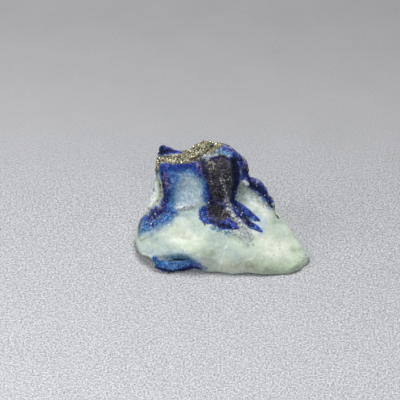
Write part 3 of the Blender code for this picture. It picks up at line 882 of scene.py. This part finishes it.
def carried(table, unit, rays_of, *view):
    """A view's strokes with their places on the stone, in millimetres. Each place goes along its ray by
    three quarters of its distance to the stone, again and again, until it is there."""
    paths = [path for rows in table.values() for _, path in rows]
    spots = np.array([spot for path in paths for spot in path])
    points, rays = rays_of(spots[:, :2], *view)
    there = np.zeros(len(points), bool)
    for _ in range(RAY_STEPS):
        gap = np.maximum(stone(points) + waves(points), CLOSE)
        points = points + np.where(there, 0.0, 0.75 * gap)[:, None] * rays
        there |= gap == CLOSE
    points = points.astype(np.float32).astype(float)  # settles which way a half is rounded
    laid = np.column_stack([np.round(points, 1), np.round(spots[:, 2] * unit, 2)])
    laid = iter(np.split(laid, np.cumsum([len(path) for path in paths])[:-1]))
    return {name: [(round(soft * unit, 2), next(laid)) for soft, _ in rows]
            for name, rows in table.items()}


STROKES = carried(PICTURE_STROKES, PIXEL, picture_rays)
for table, turn, rise in SIDES:
    for name, rows in carried(table, 1.0, side_rays, turn, rise).items():
        STROKES[name] += rows
for name, soft, path in EDGE_STROKES:
    STROKES[name].append((soft, path))


def zone(p, strokes):
    """How deep inside the nearest stroke each point lies, in units of that stroke's softness."""
    best = np.full(len(p), -3.0)
    for soft, path in strokes:
        for a, b in zip(path[:-1], path[1:]):
            best = np.maximum(best, -rib(p, a[:3], b[:3], a[3], b[3]) / soft)
    return np.minimum(best, 3.0)


def covered(value):
    """A zone's value as a share from 0 to 1, with soft ends."""
    t = np.clip(0.5 + 0.5 * value, 0.0, 1.0)
    return t * t * (3.0 - 2.0 * t)


skin_base = smooth - normals * waves(smooth)[:, None]
zones = {name: zone(skin_base, strokes) for name, strokes in STROKES.items()}
grainy = covered(np.max([zones[k] for k in ("blue", "azure", "deep", "violet", "dark", "gold")], axis=0))
grainy *= 1.0 - 0.85 * covered(zones["glass"])  # the lip is smooth and glassy
rough_rock = covered(np.maximum(zones["dark"], zones["gold"]))
facets = 0.09 * chips(smooth, 1.5, seed=21, keen=14.0) + 0.04 * chips(smooth, 0.7, seed=27, keen=14.0)
relief = facets + 0.012 * ripple(smooth, 0.45, seed=22)
behind = np.clip(0.5 * (smooth[:, 1] - 0.5), 0.0, 1.0) * (1.0 - 0.7 * grainy)
facets = 0.20 * chips(smooth, 2.4, seed=28, keen=20.0) + 0.06 * chips(smooth, 0.9, seed=29, keen=16.0)
relief += behind * facets
relief += grainy * (0.07 * chips(smooth, 0.42, seed=23) + 0.03 * ripple(smooth, 0.25, seed=24))
relief += rough_rock * 0.15 * chips(smooth, 0.6, seed=25)
relief += 0.09 * covered(zones["sugar"]) * (1.0 + ripple(smooth, 0.4, seed=26))
relief += 0.05 * covered(zones["white"])
SWELLS = [
    # how far the skin stands out here, softness and path
    (0.60, 0.6, [(1.9, 3.4, 11.6, 0.1), (3.0, 3.2, 10.6, 0.5), (3.4, 3.0, 9.6, 0.6),
                 (3.2, 2.8, 8.6, 0.3)]),  # crown
    (0.40, 0.6, [(3.6, 2.6, 7.8, 0.3), (4.6, 2.3, 7.2, 0.4), (5.6, 1.6, 6.4, 0.4)]),  # wing
    (0.55, 0.5, [(6.4, 0.9, 5.7, 0.4), (6.8, 0.3, 5.1, 0.3)]),  # wing, lower bump
    (0.55, 0.7, [(-9.1, -0.6, 5.2, 0.4), (-8.9, 0.7, 5.9, 0.5), (-8.7, 1.8, 7.0, 0.3)]),  # left strip
    (0.70, 1.0, [(10.2, -5.4, 0.5, 0.5), (9.6, -6.2, 0.5, 0.6), (8.7, -7.0, 0.5, 0.1)]),  # right tip
]
for amount, soft, path in SWELLS:
    relief += amount * covered(zone(skin_base, [(soft, path)]))
skin = skin_base + normals * relief[:, None]

low, high = skin.min(axis=0), skin.max(axis=0)
low[2] = 0.0  # the resting surface
box_low, box_high = (np.array(corner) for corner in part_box("specimen"))
scale = (box_high - box_low) / (high - low)
shift = box_low - low * scale


def placed(p):
    """Points of the form, in millimetres, brought to the solid's own box, in metres, none under its rest."""
    q = p * scale + shift
    q[:, 2] = np.maximum(q[:, 2], box_low[2])
    return q


stone_skin = new_piece("stone", placed(skin), squares.tolist())
for name, depths in zones.items():
    kept = stone_skin.data.attributes.new(name, "FLOAT", "POINT")
    kept.data.foreach_set("value", depths.astype(np.float32))
stone_skin.data.shade_smooth()

# The stone's material
# Grains are packed cells with a tone each. A zone takes whole grains at its edge, so it ends in
# crumbs as the mineral does; the pale matrix is cloudy, with fine healed cracks.
MATRIX_GREEN = (0.60, 0.69, 0.56, 1.0)
MATRIX_GREY = (0.48, 0.57, 0.51, 1.0)
MATRIX_FROST = (0.80, 0.85, 0.78, 1.0)
CRACK_PALE = (0.70, 0.76, 0.68, 1.0)
GLINT = (0.50, 0.56, 0.66, 1.0)


def new_group(name, inputs, outputs):
    """An empty node group with named value sockets: its tree, its input and its output node."""
    made = bpy.data.node_groups.new(name, "ShaderNodeTree")
    for label, kind in inputs:
        made.interface.new_socket(name=label, in_out="INPUT", socket_type="NodeSocket" + kind)
    for label, kind in outputs:
        made.interface.new_socket(name=label, in_out="OUTPUT", socket_type="NodeSocket" + kind)
    return made, made.nodes.new("NodeGroupInput"), made.nodes.new("NodeGroupOutput")


def blend(tree, *parts):
    """The sum of values, each times its weight."""
    total = 0.0
    for value, weight in parts:
        total = node(tree, "Math", {0: value, 1: weight, 2: total}, operation="MULTIPLY_ADD").outputs[0]
    return total


def packed(tree, place, size):
    """Packed grains about this many millimetres across: three random values for each."""
    cells = node(tree, "TexVoronoi", {"Vector": place, "Scale": 1.0 / (size * MM)})
    return split(tree, cells.outputs["Color"])


def strayed(tree, place, colour, far):
    """The place moved along each axis by a noise colour, by up to this many millimetres."""
    return node(tree, "VectorMath", {0: place, 1: scaled(tree, colour, far * MM)}, operation="ADD").outputs[0]


# A zone's edge, broken up by noise
broken_edge, inside, outside = new_group(
    "broken_edge",
    [("Zone", "Float"), ("Noise", "Float"), ("Wander", "Float"), ("Cover", "Float")],
    [("Mask", "Float")])
moved = calc(broken_edge, "SUBTRACT", inside.outputs["Noise"], 0.5)
moved = calc(broken_edge, "MULTIPLY", moved, inside.outputs["Wander"])
moved = calc(broken_edge, "ADD", inside.outputs["Zone"], moved)
mask = ranged(broken_edge, moved, -1.0, 1.0, smooth=True)
broken_edge.links.new(calc(broken_edge, "MULTIPLY", mask, inside.outputs["Cover"]), outside.inputs["Mask"])

rock, tree, shader, place = new_material("afghanite_rock")
wide = split(tree, noise(tree, place, 1.8, detail=4.0).outputs["Color"])
mid = split(tree, noise(tree, place, 0.6, detail=4.0, rough=0.6).outputs["Color"])
fine_colour = noise(tree, place, 0.18, detail=3.0, rough=0.7).outputs["Color"]
fine = split(tree, fine_colour)
bent = strayed(tree, place, fine_colour, 0.35)
coarse, crumb = packed(tree, bent, 0.34), packed(tree, bent, 0.16)
soft = [blend(tree, (mid[i], 0.7), (fine[i], 0.3)) for i in range(3)]
gritty = [blend(tree, (coarse[i], 0.42), (crumb[i], 0.33), (mid[i], 0.25)) for i in range(3)]

value = {name: node(tree, "Attribute", attribute_name=name).outputs["Fac"] for name in STROKES}
clouds = blend(tree, (wide[0], 0.8), (mid[1], 0.2))
colour = mixed(tree, ranged(tree, clouds, 0.38, 0.62), MATRIX_GREY, MATRIX_GREEN)
frost = blend(tree, (fine[0], 0.4), (crumb[0], 0.3), (coarse[2], 0.3))
colour = mixed(tree, ranged(tree, frost, 0.52, 0.80, 0.0, 0.55), colour, MATRIX_FROST)
crack_place = strayed(tree, place, noise(tree, place, 2.0, detail=3.0).outputs["Color"], 3.0)
ins = {"Vector": crack_place, "Scale": 1.0 / (3.2 * MM)}
cracks = node(tree, "TexVoronoi", ins, feature="DISTANCE_TO_EDGE")
line = ranged(tree, cracks.outputs["Distance"], 0.0, 0.016, 1.0, 0.0)
line = calc(tree, "MULTIPLY", line, ranged(tree, wide[1], 0.46, 0.60, 0.0, 0.55))
colour = mixed(tree, line, colour, CRACK_PALE)
# Besides colours, shade, ash, mist, teal, stain, sea, deep, dark and moss hold painted shade;
# cream holds painted light and white holds painted highlights.
LAYERS = [
    # zone, dark and light colour of its grains, cover, gain and shift of its value, wander, edge, channel
    ("cream_and_painted_light", (0.70, 0.74, 0.63, 1), (0.90, 0.92, 0.82, 1), 0.85, 1.0, 0.0, 3.0, soft, 0),
    ("moss_and_painted_shade", (0.30, 0.37, 0.25, 1), (0.44, 0.52, 0.37, 1), 0.80, 1.0, 0.0, 3.0, soft, 2),
    ("sky", (0.34, 0.48, 0.60, 1), (0.66, 0.80, 0.88, 1), 0.9, 1.0, 0.0, 2.4, soft, 1),
    ("shade", (0.12, 0.17, 0.16, 1), (0.24, 0.30, 0.29, 1), 0.70, 1.0, 0.0, 3.0, soft, 1),
    ("ash", (0.09, 0.12, 0.13, 1), (0.38, 0.43, 0.43, 1), 0.8, 1.0, 0.0, 4.5, gritty, 2),
    ("stain", (0.16, 0.30, 0.48, 1), (0.34, 0.50, 0.64, 1), 0.8, 2.0, 1.2, 2.5, gritty, 1),
    ("stain", (0.03, 0.10, 0.32, 1), (0.07, 0.24, 0.54, 1), 0.95, 2.4, 0.4, 2.5, gritty, 0),
    ("stain", (0.008, 0.02, 0.14, 1), (0.022, 0.09, 0.44, 1), 0.9, 3.0, -0.7, 2.5, gritty, 2),
    ("sea", (0.02, 0.08, 0.14, 1), (0.10, 0.25, 0.34, 1), 0.85, 1.0, 0.0, 3.0, soft, 2),
    ("mist", (0.36, 0.46, 0.44, 1), (0.52, 0.62, 0.59, 1), 0.75, 1.0, 0.0, 3.0, soft, 0),
    ("teal", (0.015, 0.09, 0.22, 1), (0.10, 0.32, 0.50, 1), 0.9, 1.0, 0.0, 3.5, gritty, 2),
    ("blue", (0.003, 0.005, 0.10, 1), (0.009, 0.062, 0.51, 1), 0.97, 1.0, 0.0, 2.6, gritty, 0),
    ("azure", (0.010, 0.06, 0.28, 1), (0.17, 0.44, 0.80, 1), 0.85, 1.0, 0.0, 4.0, gritty, 1),
    ("glass", (0.008, 0.06, 0.30, 1), (0.20, 0.50, 0.95, 1), 0.9, 1.0, 0.0, 3.5, soft, 2),
    ("violet", (0.020, 0.014, 0.08, 1), (0.34, 0.28, 0.46, 1), 0.85, 1.0, 0.0, 3.0, gritty, 1),
    ("deep", (0.001, 0.001, 0.010, 1), (0.006, 0.007, 0.050, 1), 0.95, 1.0, 0.0, 2.6, gritty, 2),
    ("dark", (0.003, 0.003, 0.006, 1), (0.105, 0.094, 0.135, 1), 0.96, 1.0, 0.0, 2.6, gritty, 0),
    ("gold", (0.05, 0.045, 0.028, 1), (0.50, 0.47, 0.34, 1), 1.0, 1.0, 0.0, 2.6, gritty, 2),
    ("sugar", (0.08, 0.08, 0.12, 1), (0.55, 0.56, 0.62, 1), 0.9, 1.0, 0.0, 3.0, gritty, 0),
    ("white", (0.66, 0.73, 0.73, 1), (0.92, 0.95, 0.95, 1), 0.95, 1.0, 0.0, 2.0, soft, 1),
]
tones = ranged(tree, blend(tree, (coarse[0], 0.30), (crumb[1], 0.35), (fine[0], 0.35)), 0.30, 0.72)
granular = 0.0
for name, dark, light, cover, gain, shift, wander, edge, channel in LAYERS:
    reach = value[name] if gain == 1.0 else blend(tree, (value[name], gain), (1.0, shift))
    ins = {"Zone": reach, "Noise": edge[channel], "Wander": wander, "Cover": cover}
    mask = node(tree, "Group", ins, node_tree=broken_edge).outputs["Mask"]
    colour = mixed(tree, mask, colour, mixed(tree, tones, dark, light))
    if edge is gritty and name not in ("ash", "gold", "sugar"):
        granular = calc(tree, "MAXIMUM", mask, granular)
granular = calc(tree, "MULTIPLY", granular, ranged(tree, value["glass"], -0.5, 1.0, 1.0, 0.2))
sparks = ranged(tree, blend(tree, (crumb[2], 0.7), (fine[1], 0.3)), 0.76, 0.84, 0.0, 0.7)
sparks = calc(tree, "MULTIPLY", sparks, ranged(tree, mid[0], 0.45, 0.65))
sparks = calc(tree, "MULTIPLY", sparks, ranged(tree, value["deep"], -1.0, 0.5, 1.0, 0.15))
colour = mixed(tree, calc(tree, "MULTIPLY", sparks, granular), colour, GLINT)
tree.links.new(colour, shader.inputs["Base Color"])
height = blend(tree, (crumb[0], 0.35), (coarse[1], 0.25), (fine[1], 0.4))
height = blend(tree, (height, calc(tree, "MAXIMUM", granular, 0.25)), (mid[2], 0.3))
bump = node(tree, "Bump", {"Height": height, "Distance": 0.07 * MM, "Strength": 0.7})
tree.links.new(bump.outputs[0], shader.inputs["Normal"])
dullness = blend(tree, (fine[2], 0.6), (crumb[0], 0.4))
tree.links.new(ranged(tree, dullness, 0.3, 0.7, 0.28, 0.60), shader.inputs["Roughness"])
shader.inputs["Specular IOR Level"].default_value = 0.16
shader.inputs["Subsurface Weight"].default_value = 0.15
shader.inputs["Subsurface Radius"].default_value = (0.9, 1.0, 0.9)
shader.inputs["Subsurface Scale"].default_value = 0.3 * MM
stone_skin.data.materials.append(rock)
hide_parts("specimen")
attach(stone_skin, "root")

# Pyrite grains: small brassy cubes with worn edges, half sunk in the band
# They grew inside the stone; the break along the band left them standing out of it.
PYRITE_COUNT, PYRITE_SIZES = 1300, (0.10, 0.30)
PYRITE_DULL, PYRITE_BRIGHT = (0.15, 0.14, 0.10, 1.0), (0.78, 0.75, 0.57, 1.0)


def crystals(name, weights, count, sizes, keen, stretch, sunk, seed):
    """Small crystals on the skin, as one piece. Each is a superellipsoid on a grid of two angles, whose
    cosines and sines are raised to the power keen: a small power gives a cube with worn edges. A grain
    has its own size, stretch and turn, and sits on a skin point drawn by weight."""
    draw = np.random.default_rng(seed)
    around = np.radians([35, 55, 125, 145, 215, 235, 305, 325])
    above = np.radians([-55, -35, 35, 55])
    u, v = np.meshgrid(around, above)
    bows = [np.sign(bow) * np.abs(bow) ** keen for bow in (np.cos(u), np.sin(u), np.cos(v), np.sin(v))]
    rings = np.stack([bows[2] * bows[0], bows[2] * bows[1], bows[3]], axis=-1).reshape(-1, 3)
    base = np.concatenate([rings, [(0.0, 0.0, -1.0), (0.0, 0.0, 1.0)]])
    at = draw.choice(len(skin), count, p=weights / weights.sum())
    turn = draw.normal(size=(count, 4))
    w, x, y, z = (turn / np.linalg.norm(turn, axis=1)[:, None]).T
    turn = np.stack([1 - 2 * (y * y + z * z), 2 * (x * y - w * z), 2 * (x * z + w * y),
                     2 * (x * y + w * z), 1 - 2 * (x * x + z * z), 2 * (y * z - w * x),
                     2 * (x * z - w * y), 2 * (y * z + w * x), 1 - 2 * (x * x + y * y)], axis=1)
    turn = turn.reshape(-1, 3, 3)
    size = sizes[0] + (sizes[1] - sizes[0]) * draw.random(count) ** 2.5
    form = draw.uniform(1.0 - stretch, 1.0, (count, 1, 3)) * base * size[:, None, None] * 0.5
    middle = skin[at] + draw.normal(size=(count, 3)) * 0.03 - skin_normals[at] * (size * sunk)[:, None]
    points = np.einsum("nij,nkj->nki", turn, form) + middle[:, None]
    n = len(around)
    ring, side = np.meshgrid(np.arange(len(above) - 1), np.arange(n), indexing="ij")
    near, far = (ring * n + side).ravel(), (ring * n + (side + 1) % n).ravel()
    quads = np.stack([near, far, far + n, near + n], axis=1)
    low, after, top = np.arange(n), (np.arange(n) + 1) % n, len(rings) - n
    caps = np.concatenate([np.stack([after, low, np.full(n, len(rings))], axis=1),
                           np.stack([low + top, after + top, np.full(n, len(rings) + 1)], axis=1)])
    start = np.arange(count)[:, None, None] * len(base)
    faces = (quads + start).reshape(-1, 4).tolist() + (caps + start).reshape(-1, 3).tolist()
    return new_piece(name, placed(points.reshape(-1, 3)), faces)


def grain_material(name, dull, clear, size, low_rough, high_rough):
    """A grain finish: two tones by noise, so that neighbours differ, and a roughness that varies too."""
    made, tree, shader, place = new_material(name)
    tones = split(tree, noise(tree, place, size, detail=2.0, rough=0.7).outputs["Color"])
    colour = mixed(tree, ranged(tree, tones[0], 0.36, 0.64), dull, clear)
    tree.links.new(colour, shader.inputs["Base Color"])
    tree.links.new(ranged(tree, tones[1], 0.35, 0.65, low_rough, high_rough), shader.inputs["Roughness"])
    return made, shader


def dressed(piece, material):
    """The grains take their material and go with the stone."""
    piece.data.materials.append(material)
    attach(piece, "root")


def inner(*names):
    """How surely a skin point lies in one of these zones, from 0 to 1."""
    return np.clip(np.max([zones[name] for name in names], axis=0), 0.0, 1.0)


skin_normals = point_normals(skin, squares)
pyrite, shader = grain_material("pyrite_brass", PYRITE_DULL, PYRITE_BRIGHT, 0.25, 0.22, 0.5)
shader.inputs["Metallic"].default_value = 1.0
weights = inner("gold") ** 2
grains = crystals("pyrite_grains", weights, PYRITE_COUNT, PYRITE_SIZES,
                  keen=0.25, stretch=0.3, sunk=0.18, seed=31)
dressed(grains, pyrite)

# Blue and violet grains: short glassy granules of the blue mineral
# They stand a little out of its broken patches and edges, where the rock crumbled round them.
BLUE_COUNT, BLUE_SIZES = 1500, (0.10, 0.26)
BLUE_DULL, BLUE_BRIGHT = (0.004, 0.008, 0.07, 1.0), (0.035, 0.09, 0.36, 1.0)
blue_grain, shader = grain_material("blue_granules", BLUE_DULL, BLUE_BRIGHT, 0.3, 0.18, 0.5)
shader.inputs["Specular IOR Level"].default_value = 0.4
weights = inner("blue", "violet", "azure") * (1.0 - inner("dark", "gold", "deep"))
weights *= 1.0 - 0.9 * inner("glass")
grains = crystals("blue_grains", weights, BLUE_COUNT, BLUE_SIZES,
                  keen=0.6, stretch=0.45, sunk=0.3, seed=32)
dressed(grains, blue_grain)

# Dark grains: near-black glassy granules packed on the rib and in the hollow of the patch
DARK_COUNT, DARK_SIZES = 800, (0.16, 0.46)
DARK_DULL, DARK_BRIGHT = (0.005, 0.004, 0.007, 1.0), (0.105, 0.098, 0.125, 1.0)
dark_grain, _ = grain_material("dark_granules", DARK_DULL, DARK_BRIGHT, 0.3, 0.16, 0.5)
weights = inner("dark")
grains = crystals("dark_grains", weights, DARK_COUNT, DARK_SIZES,
                  keen=0.6, stretch=0.4, sunk=0.3, seed=33)
dressed(grains, dark_grain)

# Sugary grains: clear to white crumbs along the stream, the crown's rim and the strip at the left
# They are the youngest filling of the cracks, and a few lie loose on the blue flank.
SUGAR_COUNT, SUGAR_SIZES = 620, (0.08, 0.28)
SUGAR_DULL, SUGAR_BRIGHT = (0.24, 0.25, 0.31, 1.0), (0.84, 0.87, 0.90, 1.0)
sugar_grain, _ = grain_material("sugar_granules", SUGAR_DULL, SUGAR_BRIGHT, 0.25, 0.2, 0.5)
weights = inner("sugar") + 0.5 * inner("white") + 0.014 * inner("blue", "violet", "azure")
weights += 0.03 * inner("dark")
grains = crystals("sugar_grains", weights, SUGAR_COUNT, SUGAR_SIZES,
                  keen=0.55, stretch=0.4, sunk=0.15, seed=34)
dressed(grains, sugar_grain)

low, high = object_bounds()
